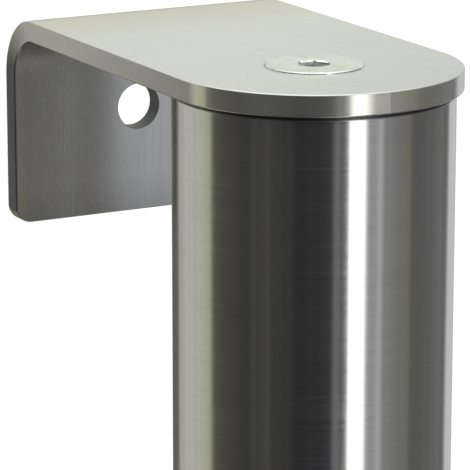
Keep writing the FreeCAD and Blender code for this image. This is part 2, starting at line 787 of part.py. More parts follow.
def make_lock_housing():
    """Box under the plate, open to the sleeve and downwards, with four screw bosses."""
    top = -plate_thickness
    low = housing_bottom
    w = housing_wall
    box = block(housing_x_min, housing_x_max, housing_y_min, housing_y_max, low, top)
    hollow = block(0, housing_x_max - w, housing_y_min + w, housing_y_max - w, low - 1, top + 1)
    box = box.cut(hollow)
    half = cover_boss / 2
    boss_height = guide_screw_length
    for x, y in cover_screw_places():
        boss = block(x - half, x + half, y - half, y + half, low, low + boss_height)
        box = box.fuse(boss).cut(rod(cover_screw_r + seat_fit, cover_screw_length, (x, y, low - 1)))
    box = box.cut(rod(sleeve_r, FAR, (0, 0, -FAR)))
    for x in guide_screw_places():
        box = box.cut(rod(guide_screw_r + seat_fit, 3 * w, (x, housing_y_min - w, bolt_z), Y))
    return box.removeSplitter()


def make_lock_cover():
    low = housing_bottom - housing_cover
    cover = block(housing_x_min, housing_x_max, housing_y_min, housing_y_max, low, housing_bottom)
    cover = cover.cut(rod(sleeve_r, FAR, (0, 0, -FAR)))
    cover = cover.cut(rod(spindle_tail_r + running_fit, FAR, (spindle_x, spindle_y, -FAR)))
    for x, y in cover_screw_places():
        cover = cover.cut(rod(cover_screw_r + seat_fit, FAR, (x, y, -FAR)))
    return cover


def make_cover_screws():
    screws = []
    top = housing_bottom + cover_screw_length - housing_cover - 1.5
    low = housing_bottom - housing_cover
    for x, y in cover_screw_places():
        screw = rod(cover_screw_r, top - low, (x, y, low))
        head = rod(cover_screw_head_r, cover_screw_head, (x, y, low - cover_screw_head))
        key = hexagon(4.0, 2.0, (x, y, low - cover_screw_head + 2.0))
        screws.append(screw.fuse(head).cut(key))
    return group(screws)


def cap_pin(extra):
    """Hinge pin of the dust cap, across the plate's pocket."""
    start = (cap_hinge_x, spindle_y - cap_pin_length / 2, -cap_hinge_drop)
    return rod(cap_pin_r + extra, cap_pin_length, start, Y)


def make_keyhole_cap():
    disc = rod(cap_r, cap_thickness, (spindle_x, spindle_y, -cap_thickness))
    top_rim = [e for e in disc.Edges if e.BoundBox.ZMin > -0.01]
    disc = disc.makeFillet(0.6, top_rim)
    half = cap_barrel / 2
    lug = block(spindle_x + cap_r - 4, cap_hinge_x, spindle_y - half, spindle_y + half, -cap_thickness, 0)
    lug = lug.cut(block(cap_hinge_x - cap_barrel_r, FAR, -FAR, FAR, -cap_hinge_drop, FAR))
    barrel = rod(cap_barrel_r, cap_barrel, (cap_hinge_x, spindle_y - half, -cap_hinge_drop), Y)
    notch = rod(cap_notch_r, FAR, (spindle_x - cap_r - 0.5, spindle_y, -cap_thickness / 2))
    cap = disc.fuse(lug).fuse(barrel).removeSplitter().cut(notch)
    return cap.cut(cap_pin(running_fit))


# ---- write every piece -----------------------------------------------------------------------------
pieces = {
    "head_plate": make_head_plate(),
    "head_screw": make_head_screw(),
    "head_dowels": group(dowels(0.0)),
    "post_tube": make_post_tube(),
    "top_plug": make_top_plug(),
    "upper_clevis": clevis(plug_bottom, gas_eye_z, -1),
    "upper_clevis_pin": clevis_pin(gas_eye_z),
    "gas_cylinder": make_gas_cylinder(),
    "gas_gland": make_gas_gland(),
    "foot_piston": make_foot_piston(),
    "foot_screws": make_foot_screws(),
    "guide_band": make_guide_band(),
    "stop_ring": make_stop_ring(),
    "ground_plate": make_ground_plate(),
    "ground_sleeve": make_ground_sleeve(),
    "sleeve_base": make_sleeve_base(),
    "flange_pocket": make_flange_pocket(),
    "guide_bush": make_guide_bush(),
    "wiper_seal": make_wiper_seal(),
    "retaining_ring": make_retaining_ring(),
    "retaining_ring_screws": make_ring_screws(),
    "anti_turn_rail": make_anti_turn_rail(),
    "anchor_bars": make_anchor_bars(),
    "lower_buffer": make_lower_buffer(),
    "lower_clevis": clevis(base_top, eye_z, 1),
    "lower_clevis_pin": clevis_pin(eye_z),
    "gas_rod": make_gas_rod(),
    "lock_housing": make_lock_housing(),
    "lock_cover": make_lock_cover(),
    "lock_cover_screws": make_cover_screws(),
    "bolt_guide": make_bolt_guide(),
    "bolt_guide_screws": make_bolt_guide_screws(),
    "spindle_bush": make_spindle_bush(),
    "lock_spindle": make_lock_spindle(),
    "lock_pinion": make_lock_pinion(),
    "pinion_pin": cross_pin(0.0),
    "spindle_clip": make_spindle_clip(),
    "lock_bolt": make_lock_bolt(),
    "keyhole_cap": make_keyhole_cap(),
    "cap_hinge_pin": cap_pin(0.0),
}
os.makedirs("parts", exist_ok=True)
for name, shape in pieces.items():
    shape.exportStep("parts/" + name + ".step")
    print(name, len(shape.Solids), shape.isValid(), round(shape.Volume / 1000, 2))
print("travel", round(travel, 2), "base", round(base_bottom, 2), "spindle y", round(spindle_y, 3))
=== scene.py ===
import math

import bpy
import numpy as np
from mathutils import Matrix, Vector


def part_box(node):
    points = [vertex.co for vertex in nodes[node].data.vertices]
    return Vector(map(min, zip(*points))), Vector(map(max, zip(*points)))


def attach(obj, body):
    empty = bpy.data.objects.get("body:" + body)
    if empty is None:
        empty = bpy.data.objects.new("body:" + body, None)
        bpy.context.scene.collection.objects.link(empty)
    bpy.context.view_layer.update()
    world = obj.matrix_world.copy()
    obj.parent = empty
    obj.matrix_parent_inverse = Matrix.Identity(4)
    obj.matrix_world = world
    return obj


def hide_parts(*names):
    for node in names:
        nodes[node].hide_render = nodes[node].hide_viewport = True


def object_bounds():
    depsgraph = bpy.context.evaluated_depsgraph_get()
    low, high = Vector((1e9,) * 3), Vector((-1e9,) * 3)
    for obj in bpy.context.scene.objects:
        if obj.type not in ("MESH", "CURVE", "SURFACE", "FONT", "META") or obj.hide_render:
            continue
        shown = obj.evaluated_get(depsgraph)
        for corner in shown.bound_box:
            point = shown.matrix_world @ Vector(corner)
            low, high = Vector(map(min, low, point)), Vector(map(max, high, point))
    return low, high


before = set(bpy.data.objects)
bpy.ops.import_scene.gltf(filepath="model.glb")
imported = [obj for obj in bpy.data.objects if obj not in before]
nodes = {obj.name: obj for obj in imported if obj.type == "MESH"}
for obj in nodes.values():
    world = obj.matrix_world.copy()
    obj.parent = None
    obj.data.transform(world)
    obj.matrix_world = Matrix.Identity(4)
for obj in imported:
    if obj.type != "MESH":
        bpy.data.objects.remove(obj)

cad_low, cad_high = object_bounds()


# ---- Ground sleeve -------------------------------------------------------------------------------
# The sleeve is a thick steel tube set in concrete, with a drained base, hooked anchor bars and the
# flange's pocket all welded on. The whole weldment is dipped in molten zinc after welding, which
# leaves a spangle of grey crystals and duller streaks running up and down, where the zinc ran off.
class Shade:
    """One shader socket. Arithmetic on it adds Math nodes, and add() makes a node of any other type."""

    def __init__(self, tree, socket=None):
        self.tree = tree
        self.socket = socket

    def add(self, kind, settings=None, sockets=None, out=0):
        """A node of that type. Its settings are set first, a ramp's as its stops, then its sockets."""
        node = self.tree.nodes.new(kind)
        for name, value in (settings or {}).items():
            if name != "stops":
                setattr(node, name, value)
                continue
            ramp = node.color_ramp
            ramp.elements[0].position, ramp.elements[0].color = value[0]
            ramp.elements[1].position, ramp.elements[1].color = value[-1]
            for place, colour in value[1:-1]:
                ramp.elements.new(place).color = colour
        for name, value in (sockets or {}).items():
            if isinstance(value, Shade):
                self.tree.links.new(value.socket, node.inputs[name])
            else:
                node.inputs[name].default_value = value
        return None if out is None else Shade(self.tree, node.outputs[out])

    def out(self, name):
        """Another output of the same node."""
        return Shade(self.tree, self.socket.node.outputs[name])

    def maths(self, operation, *values):
        return self.add("ShaderNodeMath", {"operation": operation}, dict(enumerate(values)))

    def __add__(self, other):
        return self.maths("ADD", self, other)

    __radd__ = __add__

    def __sub__(self, other):
        return self.maths("SUBTRACT", self, other)

    def __rsub__(self, other):
        return self.maths("SUBTRACT", other, self)

    def __mul__(self, other):
        return self.maths("MULTIPLY", self, other)

    __rmul__ = __mul__

    def __pow__(self, other):
        return self.maths("POWER", self, other)


def noise(place, scale, detail=3.0, rough=0.5):
    """Soft cloud noise from 0 to 1, of that many lumps a metre where place is in metres."""
    return place.add("ShaderNodeTexNoise", None,
                     {"Vector": place, "Scale": scale, "Detail": detail, "Roughness": rough})


def stretched(place, scales, detail=3.0, rough=0.5):
    """Noise with its own number of lumps a metre along each axis, so that it draws out into grain."""
    wide = place.add("ShaderNodeVectorMath", {"operation": "MULTIPLY"}, {0: place, 1: scales})
    return noise(wide, 1.0, detail, rough)


def between(value, low, high, to_low=0.0, to_high=1.0):
    """value run from low..high onto to_low..to_high, and held at the ends."""
    return value.add("ShaderNodeMapRange", {"clamp": True},
                     {"Value": value, "From Min": low, "From Max": high,
                      "To Min": to_low, "To Max": to_high})


def mixed(share, first, second):
    """One colour turning into another as share goes from 0 to 1."""
    return share.add("ShaderNodeMix", {"data_type": "RGBA"}, {0: share, 6: first, 7: second}, 2)


def bumped(height, depth, strength=1.0, under=None):
    """A surface normal tilted by height, which stands for that many metres of depth."""
    sockets = {"Height": height, "Distance": depth, "Strength": strength}
    if under is not None:
        sockets["Normal"] = under
    return height.add("ShaderNodeBump", None, sockets)


def finish_of(name):
    """An empty material of that name: its tree, and the points of the piece in metres."""
    material = bpy.data.materials.new(name)
    material.use_nodes = True
    material.node_tree.nodes.clear()
    start = Shade(material.node_tree)
    return material, start.add("ShaderNodeTexCoord", out="Object")


def surface(place, colour, rough, normal, metal=1.0, **fixed):
    """Closes a material with its shader. fixed holds numbers that are the same all over."""
    sockets = {"Base Color": colour, "Roughness": rough, "Metallic": metal, "Normal": normal}
    sockets.update({name.replace("_", " "): value for name, value in fixed.items()})
    shader = place.add("ShaderNodeBsdfPrincipled", None, sockets)
    place.add("ShaderNodeOutputMaterial", None, {"Surface": shader}, None)


def wear_finish(material, *names):
    """Gives CAD pieces their finish through their own material slot."""
    for name in names:
        nodes[name].data.materials[0] = material


def grey(level, warm=0.0):
    """A grey of that brightness, yellower where warm is above 0 and bluer below."""
    return (level * (1 + 0.35 * warm), level * (1 + 0.25 * warm), level * (1 - warm), 1.0)


galvanised, at = finish_of("zinc_spangle")
drift = stretched(at, (70, 70, 70), 2.0)
crystals = at.add("ShaderNodeTexVoronoi", {"feature": "F1"},
                  {"Vector": at.add("ShaderNodeVectorMath", {"operation": "MULTIPLY_ADD"},
                                    {0: drift.out(1), 1: (0.006, 0.006, 0.006), 2: at}),
                   "Scale": 105.0, "Randomness": 1.0}, "Color")
facet = at.add("ShaderNodeSeparateColor", None, {0: crystals})
bloom = between(noise(at, 9.0, 5.0, 0.6), 0.46, 0.68)
runs = between(stretched(at, (60, 60, 5), 4.0, 0.6), 0.5, 0.75)
zinc = mixed(facet, grey(0.36, -0.03), grey(0.55, -0.015))
zinc = mixed(bloom * 0.7, zinc, grey(0.62, 0.01))
zinc = mixed(runs * 0.45, zinc, grey(0.29, 0.03))
zinc_rough = between(facet.out(1), 0, 1, 0.34, 0.52) + bloom * 0.16
zinc_height = facet.out(2) * 0.5 + noise(at, 380.0, 4.0, 0.6) * 0.6 + runs * 0.4
surface(at, zinc, zinc_rough, bumped(zinc_height, 0.00018, 0.8), 0.86)
wear_finish(galvanised, "ground_sleeve", "sleeve_base", "flange_pocket", "anchor_bars",
            "lock_housing", "lock_cover", "lower_clevis", "upper_clevis")


# ---- Weld beads ----------------------------------------------------------------------------------
# Fillet welds hold the weldment together: round the sleeve under the plate and at its base, round
# the flange's pocket and the lock's housing, and where each anchor bar meets the sleeve. Each bead
# is a row of overlapping crescents, dipped in zinc with everything else.
def closed_shells(name, grids, joined):
    """One mesh of closed shells, each from a grid of points (rows, steps, 3) whose steps go all the
    way round. Rows follow each other, and the last joins the first where joined is true. Otherwise
    the first and last rows close on their own middle points."""
    points, faces, start = [], [], 0
    for grid in grids:
        rows, steps = grid.shape[:2]
        index = np.arange(rows * steps).reshape(rows, steps) + start
        beside = np.roll(index, -1, axis=1)
        last = rows if joined else rows - 1
        ahead, ahead_beside = np.roll(index, -1, axis=0), np.roll(beside, -1, axis=0)
        quads = np.stack([index, beside, ahead_beside, ahead], axis=-1)[:last].reshape(-1, 4)
        points.append(grid.reshape(-1, 3))
        faces += quads.tolist()
        start += rows * steps
        if not joined:
            points.append(grid[[0, -1]].mean(axis=1))
            faces += np.stack([np.full(steps, start), beside[0], index[0]], axis=-1).tolist()
            faces += np.stack([np.full(steps, start + 1), index[-1], beside[-1]], axis=-1).tolist()
            start += 2
    mesh = bpy.data.meshes.new(name)
    mesh.from_pydata(np.concatenate(points).tolist(), [], faces)
    mesh.calc_loop_triangles()
    corners = np.zeros(len(mesh.loop_triangles) * 3, int)
    mesh.loop_triangles.foreach_get("vertices", corners)
    a, b, c = np.moveaxis(np.concatenate(points)[corners.reshape(-1, 3)], 1, 0)
    if np.einsum("ij,ij->", a, np.cross(b, c)) < 0:
        mesh.flip_normals()
    mesh.polygons.foreach_set("use_smooth", np.ones(len(mesh.polygons), bool))
    mesh.set_sharp_from_angle(angle=math.radians(38))
    piece = bpy.data.objects.new(name, mesh)
    bpy.context.scene.collection.objects.link(piece)
    return piece


def evenly(corners, spacing):
    """Points spacing apart on the closed outline through the corners, its corners then softened by
    averaging each point with its neighbours."""
    outline = np.concatenate([corners, corners[:1]])
    reach = np.concatenate([[0], np.cumsum(np.linalg.norm(np.diff(outline, axis=0), axis=1))])
    count = max(24, int(reach[-1] / spacing))
    at_run = np.linspace(0, reach[-1], count, endpoint=False)
    path = np.stack([np.interp(at_run, reach, outline[:, k]) for k in range(3)], axis=1)
    return (np.roll(path, 1, axis=0) + 2 * path + np.roll(path, -1, axis=0)) / 4


def bead(path, outward, down, size, seed):
    """A weld along a closed path: at each point a ring of radius size in the plane of outward and
    down, swollen into crescents 2.4 mm apart that trail behind at the sides."""
    run = np.concatenate([[0], np.cumsum(np.linalg.norm(np.diff(path, axis=0), axis=1))])[:, None]
    round_angle = np.linspace(0, 2 * np.pi, 14, endpoint=False)[None, :]
    wander = 0.06 * np.sin(run * 210 + seed) + 0.05 * np.sin(run * 577 + 2 * seed)
    crescents = np.abs(np.sin(np.pi * run / 0.0024 + 0.7 * np.cos(2 * round_angle) + seed))
    radius = (size * (0.86 + 0.17 * crescents + wander))[..., None]
    return path[:, None, :] + radius * (np.cos(round_angle)[..., None] * outward[:, None, :]
                                        + np.sin(round_angle)[..., None] * down[:, None, :])


def level_bead(corners, size, seed):
    """A bead round an outline that lies level."""
    path = evenly(corners, 0.0006)
    ahead = np.roll(path, -1, axis=0) - np.roll(path, 1, axis=0)
    ahead /= np.linalg.norm(ahead, axis=1, keepdims=True)
    upward = np.tile([0.0, 0.0, 1.0], (len(path), 1))
    return bead(path, np.cross(ahead, upward), upward, size, seed)


def level_ring(radius, level, start=0.0, end=2 * np.pi, count=180):
    """Points on a level arc round the post's axis."""
    turn = np.linspace(start, end, count, endpoint=False)
    return np.stack([radius * np.cos(turn), radius * np.sin(turn), np.full(count, level)], axis=1)


sleeve_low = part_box("ground_sleeve")[0]
pocket_low, pocket_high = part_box("flange_pocket")
housing_low, housing_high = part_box("lock_housing")
bars_low, bars_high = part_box("anchor_bars")
sleeve_radius = -sleeve_low.y
under_plate = pocket_high.z - 0.0004
bar_radius = 0.006
bar_hook_rise = 0.056
pocket_corners = np.array([(x, y, under_plate) for x, y in (
    (pocket_low.x, pocket_low.y), (pocket_high.x, pocket_low.y),
    (pocket_high.x, pocket_high.y), (pocket_low.x, pocket_high.y))])
near_turn = math.asin(housing_low.y / sleeve_radius)
far_turn = math.asin(housing_high.y / sleeve_radius)
housing_corners = np.concatenate([
    [(housing_high.x, housing_low.y, under_plate), (housing_high.x, housing_high.y, under_plate)],
    level_ring(sleeve_radius + 0.001, under_plate, far_turn, near_turn, 40)])
beads = [level_bead(level_ring(sleeve_radius + 0.0006, under_plate), 0.0030, 0.3),
         level_bead(level_ring(sleeve_radius, sleeve_low.z), 0.0020, 1.1),
         level_bead(pocket_corners, 0.0026, 2.0),
         level_bead(housing_corners, 0.0026, 2.9)]
around_bar = np.linspace(0, 2 * np.pi, 72, endpoint=False)
for number, quarter in enumerate(np.arange(8) % 4 * (np.pi / 2) + np.pi / 4):
    level = bars_high.z - bar_hook_rise if number < 4 else bars_low.z + bar_radius
    radial = np.array([math.cos(quarter), math.sin(quarter), 0.0])
    sideways = np.array([-math.sin(quarter), math.cos(quarter), 0.0])
    spread = (np.cos(around_bar)[:, None] * sideways + np.sin(around_bar)[:, None] * [0.0, 0.0, 1.0])
    out_to = np.sqrt(sleeve_radius ** 2 - (bar_radius * np.cos(around_bar)) ** 2)[:, None]
    path = spread * bar_radius + radial * out_to + [0.0, 0.0, level]
    beads.append(bead(path, spread, np.tile(radial, (72, 1)), 0.0021, number + 0.5))
welds = closed_shells("weld_beads", beads, True)
welds.data.materials.append(galvanised)
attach(welds, "ground_unit")


# ---- Ground plate and retaining ring -------------------------------------------------------------
# A 10 mm stainless plate covers the pit at pavement level, with straight grain from the belt along
# its width. Feet and grit have scuffed it, dull grime lies over it in patches, and the screwed ring
# that holds the guide is faced with the same grain.
def scuffed_plate(name, grain, seed):
    """Plate ground in one direction: long fine grain, sparse deeper scratches and trodden grime."""
    material, place = finish_of(name)
    moved = place.add("ShaderNodeVectorMath", {"operation": "ADD"}, {0: place, 1: (seed, seed * 0.7, 0)})
    fine = stretched(moved, grain, 4.0, 0.65)
    coarse = stretched(moved, tuple(g * 0.22 for g in grain), 3.0, 0.6)
    scratches = 0.0
    for turn in (0.35, 1.2, 2.05, 2.75):
        turned = place.add("ShaderNodeVectorRotate", {"rotation_type": "Z_AXIS"},
                           {"Vector": moved, "Angle": turn})
        scratches = scratches + between(stretched(turned, (26, 1400, 60), 1.0, 0.4), 0.69, 0.76)
    scratches = scratches * between(noise(moved, 24.0), 0.42, 0.6)
    grime = between(noise(moved, 14.0, 6.0, 0.65), 0.5, 0.72)
    colour = mixed(fine * 0.6 + coarse * 0.4, grey(0.47, 0.015), grey(0.62, 0.01))
    colour = mixed(grime * 0.55, colour, (0.27, 0.255, 0.235, 1))
    colour = mixed(scratches * 0.5, colour, grey(0.74))
    rough = between(fine, 0.3, 0.7, 0.27, 0.4) + grime * 0.2 - scratches * 0.06
    heights = fine * 0.7 + coarse * 0.5 - scratches * 0.9 + grime * 0.2
    surface(place, colour, rough, bumped(heights, 0.00006, 0.7), 1.0 - grime * 0.18)
    return material


wear_finish(scuffed_plate("plate_belt_grain", (26, 1900, 500), 0.0), "ground_plate")
wear_finish(scuffed_plate("ring_belt_grain", (1700, 30, 500), 2.3), "retaining_ring")


# ---- Guide bush, wiper, buffer, stop ring and foot -----------------------------------------------
# Moulded and cut parts that run on steel: a white acetal bush and band, a black rubber wiper lip,
# buffer and stop, and a black nylon foot. Acetal shows faint grey rub lines along the travel, nylon
# a sparkle of mould texture, and rubber a chalky bloom.
def moulded(name, low, high, rough, mark, mark_share, bump_depth, specular):
    """Plastic or rubber: cloudy colour, rub marks drawn along the travel and a fine skin."""
    material, place = finish_of(name)
    cloud = noise(place, 45.0, 5.0, 0.6)
    rub = between(stretched(place, (420, 420, 6), 3.0, 0.6), 0.52, 0.72)
    skin = noise(place, 2600.0, 2.0, 0.5)
    pores = noise(place, 520.0, 4.0, 0.7)
    colour = mixed(between(cloud, 0.3, 0.7), low, high)
    colour = mixed(rub * mark_share, colour, mark)
    roughness = between(cloud, 0.3, 0.7, rough - 0.07, rough + 0.08) + rub * 0.06
    surface(place, colour, roughness, bumped(skin * 0.6 + pores * 0.8 - rub * 0.5, bump_depth, 0.8), 0.0,
            Specular_IOR_Level=specular)
    return material


wear_finish(moulded("white_acetal", (0.71, 0.70, 0.66, 1), (0.80, 0.79, 0.75, 1), 0.38,
                    grey(0.44), 0.55, 0.00005, 0.5), "guide_bush", "guide_band")
wear_finish(moulded("black_nylon", (0.018, 0.018, 0.020, 1), (0.040, 0.040, 0.043, 1), 0.46,
                    grey(0.10), 0.35, 0.00009, 0.42), "foot_piston", "gas_gland")
wear_finish(moulded("black_rubber", (0.020, 0.020, 0.020, 1), (0.048, 0.046, 0.043, 1), 0.70,
                    grey(0.12, 0.02), 0.45, 0.00012, 0.25), "wiper_seal", "stop_ring", "lower_buffer")


# ---- Gas spring ----------------------------------------------------------------------------------
# The spring that helps the post up: a black stoved cylinder with a slight orange peel and fine dust,
# and a hard chromed rod, polished bright with hair lines where the gland has wiped it.
enamel, at = finish_of("black_stoving_enamel")
peel = noise(at, 640.0, 2.0, 0.4)
dust = between(noise(at, 60.0, 6.0, 0.7), 0.52, 0.75)
rubbed = between(stretched(at, (240, 240, 12), 3.0), 0.6, 0.78)
enamel_colour = mixed(dust * 0.4, (0.012, 0.012, 0.013, 1), (0.075, 0.072, 0.066, 1))
enamel_colour = mixed(rubbed * 0.35, enamel_colour, (0.05, 0.05, 0.052, 1))
surface(at, enamel_colour, between(peel, 0.3, 0.7, 0.2, 0.3) + dust * 0.25, bumped(peel, 0.00006, 0.7), 0.0,
        Coat_Weight=0.5, Coat_Roughness=0.12, Coat_IOR=1.5)
wear_finish(enamel, "gas_cylinder")

chrome, at = finish_of("hard_chrome")
hair = stretched(at, (1500, 1500, 14), 3.0, 0.6)
film = between(noise(at, 22.0, 5.0), 0.5, 0.72)
surface(at, mixed(film * 0.5, grey(0.66, -0.02), grey(0.52, 0.03)),
        between(hair, 0.3, 0.7, 0.06, 0.13) + film * 0.12, bumped(hair, 0.00001, 0.5), 1.0)
wear_finish(chrome, "gas_rod")


# ---- Post tube -----------------------------------------------------------------------------------
# A 76 mm stainless tube, belt ground round and round on a centreless grinder, so its grain lies
# level and stretches every reflection up and down the tube. The lower half, which runs in the
# guide, carries faint upright rub lines.
tube_metal, at = finish_of("tube_ring_grain")
axes = at.add("ShaderNodeSeparateXYZ", None, {0: at})
turn = axes.maths("ARCTAN2", axes.out(1), axes)
tube_low, tube_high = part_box("post_tube")
tube_radius = (tube_high.x - tube_low.x) / 2


def ring_grain(fineness, length, detail):
    """Noise on the unrolled tube: fineness lines a metre up it, each about length metres round."""
    unrolled = at.add("ShaderNodeCombineXYZ", None,
                      {0: turn * (tube_radius / length), 1: axes.out(2) * fineness, 2: 0.37 * fineness})
    return noise(unrolled, 1.0, detail, 0.6)


grain = ring_grain(2600.0, 0.045, 3.0)
broad_grain = ring_grain(520.0, 0.09, 4.0)
bands = ring_grain(60.0, 0.2, 3.0)
in_guide = between(axes.out(2), -0.05, 0.25, 1, 0)
rub_lines = between(stretched(at, (900, 900, 3.5), 3.0, 0.6), 0.56, 0.74) * in_guide
stains = between(noise(at, 26.0, 6.0, 0.62), 0.52, 0.75)
tube_colour = mixed(grain * 0.6 + broad_grain * 0.4, grey(0.545, 0.012), grey(0.69, 0.008))
tube_colour = mixed(stains * 0.30, tube_colour, (0.46, 0.455, 0.42, 1))
tube_colour = mixed(rub_lines * 0.4, tube_colour, grey(0.72))
# Painted shadow: a near-black band round the tube's top, just under the head plate, where the plate shades
# it. The band is also made rougher.
painted_joint_shadow = between(axes.out(2), tube_high.z - 0.0011, tube_high.z - 0.0006)
tube_colour = mixed(painted_joint_shadow * 0.9, tube_colour, (0.045, 0.045, 0.043, 1))
tube_rough = between(grain, 0.3, 0.7, 0.15, 0.21) + bands * 0.02 + stains * 0.03 + painted_joint_shadow * 0.3
tube_height = grain * 0.8 + broad_grain * 0.6 - rub_lines * 0.5
surface(at, tube_colour, tube_rough, bumped(tube_height, 0.000004, 0.7), 1.0,
        Anisotropic=0.9, Anisotropic_Rotation=0.25)
wear_finish(tube_metal, "post_tube")


# ---- Head plate ----------------------------------------------------------------------------------
# One piece of 80 x 6 mm stainless flat bar: a rounded nose over the tube, a bend, and a flange with
# a fixing hole. The grain runs the length of the bar and over the bend, the edges are linished
# smooth, and handling has left cloudy patches on the top.
head_low, head_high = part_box("head_plate")
hole_drop = 0.0305
hole_radius = 0.00675
bar_thickness = 0.006
bar_underside = head_high.z - bar_thickness
flange_start = head_high.y - 0.012
head_metal, at = finish_of("bar_long_grain")
sides = at.add("ShaderNodeSeparateXYZ", None, {0: at})
across, along_bar, above = sides, sides.out(1), sides.out(2)
facing = at.add("ShaderNodeSeparateXYZ", None, {0: at.add("ShaderNodeNewGeometry", out="Normal")})
upright = between(at.maths("ABSOLUTE", facing.out(2)), 0.35, 0.6, 1, 0)
rim = upright * between(along_bar, flange_start - 0.002, flange_start + 0.002, 1, 0)
bar_grain = stretched(at, (1500, 26, 26), 4.0, 0.6)
bar_broad = stretched(at, (260, 7, 7), 4.0, 0.6)
rim_grain = stretched(at, (24, 24, 1900), 4.0, 0.6)
handled = between(noise(at, 24.0, 6.0, 0.6), 0.45, 0.72)
pits = between(noise(at, 900.0, 2.0, 0.5), 0.62, 0.8)
bar_colour = mixed(bar_grain * 0.6 + bar_broad * 0.4, grey(0.55, 0.01), grey(0.70, 0.005))
bar_colour = mixed(handled * 0.3, bar_colour, (0.60, 0.595, 0.55, 1))
bar_colour = mixed(between(along_bar, flange_start - 0.05, flange_start) * 0.5, bar_colour, grey(0.60, 0.14))
near_bend = between(along_bar, flange_start - 0.038, flange_start + 0.002) * (1 - upright)
bar_colour = mixed(near_bend * 0.85, bar_colour, (0.53, 0.50, 0.44, 1))
bar_colour = mixed(between(across - along_bar, -0.03, 0.05) * 0.5, bar_colour, grey(0.45, -0.06))
bar_colour = mixed(rim, bar_colour, mixed(rim_grain, grey(0.56, 0.05), grey(0.70, 0.07)))

# Painted shade on the flange's inner face, toward one edge and at its lower end, and a bright bluish painted
# reflection over the rest.
on_flange = between(along_bar, flange_start, flange_start + 0.003)
inner_face = between(0 - facing.out(1), 0.5, 0.8) * on_flange
painted_reflection_side = between(across, -0.017, -0.001)
painted_low_shade = between(above, head_low.z, head_low.z + 0.011, 1, 0)
bar_colour = mixed(inner_face * (1 - painted_reflection_side) * 0.3, bar_colour, grey(0.40, 0.05))
bar_colour = mixed(inner_face * painted_reflection_side * 0.8, bar_colour, (0.80, 0.815, 0.865, 1))
bar_colour = mixed(inner_face * painted_low_shade * 0.45, bar_colour, grey(0.34, 0.0))

# The bar's sides keep the dark skin of the cut, worn thin along the top and whole down the flange. The
# drilled hole's wall is painted near-black as painted shade inside the hole.
in_bend = between(along_bar, flange_start - 0.006, flange_start + 0.006)
skin_left = between(above, head_high.z - 0.015, head_high.z - 0.001, 1.0, 0.35) * in_bend
skin_left = skin_left + between(along_bar, 0.0, 0.07, 0.6, 0.3) * (1 - in_bend)
on_side = between(at.maths("ABSOLUTE", across), head_high.x - 0.0007, head_high.x - 0.0002)
sheared = on_side * upright * skin_left
from_hole = at.maths("SQRT", across * across + (above - (head_high.z - hole_drop)) ** 2.0)
# Painted shade: the hole's wall, made near-black, duller and rougher together with the cut skin.
painted_hole_shade = between(from_hole, hole_radius + 0.00005, hole_radius + 0.0002, 1, 0) * on_flange
cut_skin_and_hole_shade = at.maths("MAXIMUM", sheared * 0.97, painted_hole_shade)
bar_colour = mixed(cut_skin_and_hole_shade, bar_colour, mixed(rim_grain, grey(0.045, -0.01), grey(0.085, -0.01)))

# Painted shadow along the plate's lower edge, where it meets the tube.
painted_rim_shadow = between(above, bar_underside + 0.0001, bar_underside + 0.0005, 1, 0) * rim
painted_rim_shadow = painted_rim_shadow * between(along_bar, 0.032, 0.044, 1, 0)
bar_colour = mixed(painted_rim_shadow * 0.9, bar_colour, (0.05, 0.05, 0.048, 1))
bar_rough = between(bar_grain, 0.3, 0.7, 0.20, 0.28) + handled * 0.06 - rim * 0.06 + cut_skin_and_hole_shade * 0.2
bar_height = mixed(rim, bar_grain * 0.8 + bar_broad * 0.6 - pits * 0.2, rim_grain * 1.1)
surface(at, bar_colour, bar_rough, bumped(bar_height, 0.00001, 0.6), 1.0 - rim * 0.07 - cut_skin_and_hole_shade * 0.3)
wear_finish(head_metal, "head_plate")


# ---- Head screw ----------------------------------------------------------------------------------
# A big countersunk stainless screw holds the head down on the tube's plug. Its rim is slightly
# rounded, the mouth of its hexagon socket is chamfered, the socket ends in a drill point, and a
# rolled thread runs down into the plug.
def tumbled(name, dark, bright, rough, scale):
    """Barrel tumbled steel: small soft dents and nicks over a bright skin."""
    material, place = finish_of(name)
    dents = noise(place, scale, 3.0, 0.55)
    nicks = between(noise(place, scale * 3.1, 3.0, 0.6), 0.6, 0.72)
    dull = between(noise(place, scale * 0.2, 4.0, 0.6), 0.45, 0.7)
    colour = mixed(between(dents, 0.3, 0.7), dark, bright)
    colour = mixed(dull * 0.4, colour, tuple(c * 0.8 for c in dark[:3]) + (1,))
    surface(place, colour, between(dents, 0.3, 0.7, rough - 0.05, rough + 0.05) + dull * 0.12,
            bumped(dents * 0.7 - nicks * 0.5, 0.00002, 0.6), 1.0)
    return material


